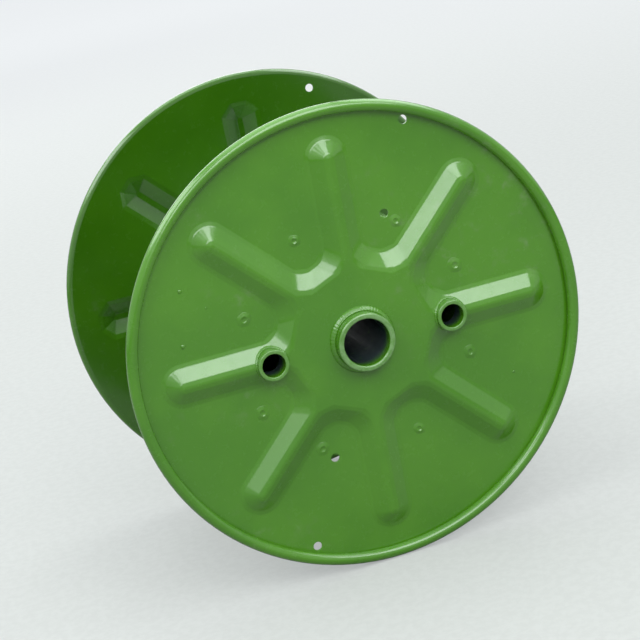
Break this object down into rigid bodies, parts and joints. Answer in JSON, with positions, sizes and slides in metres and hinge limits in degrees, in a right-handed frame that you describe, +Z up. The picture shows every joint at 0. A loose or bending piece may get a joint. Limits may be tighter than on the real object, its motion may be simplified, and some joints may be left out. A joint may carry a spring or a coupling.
{
  "type": "cable bobbin",
  "caption": "Pressed-steel cable bobbin with ribbed flanges, rolled rims, a plain barrel and a central bore with drive holes beside it.",
  "frame": {"origin": "middle of the bore axis, half-way between the flanges", "axes": "+Y along the bore axis towards the back flange, +Z up, +X towards the right-hand drive hole of the front flange"},
  "size_m": [0.7999, 0.59, 0.8],
  "materials": {
    "green_enamel": "glossy green enamel on steel"
  },
  "bodies": {
    "root": {"flange_front": "green_enamel", "flange_back": "green_enamel", "barrel": "green_enamel", "centre_tube": "green_enamel", "drive_sleeves_front": "green_enamel", "drive_sleeves_back": "green_enamel"}
  },
  "joints": []
}
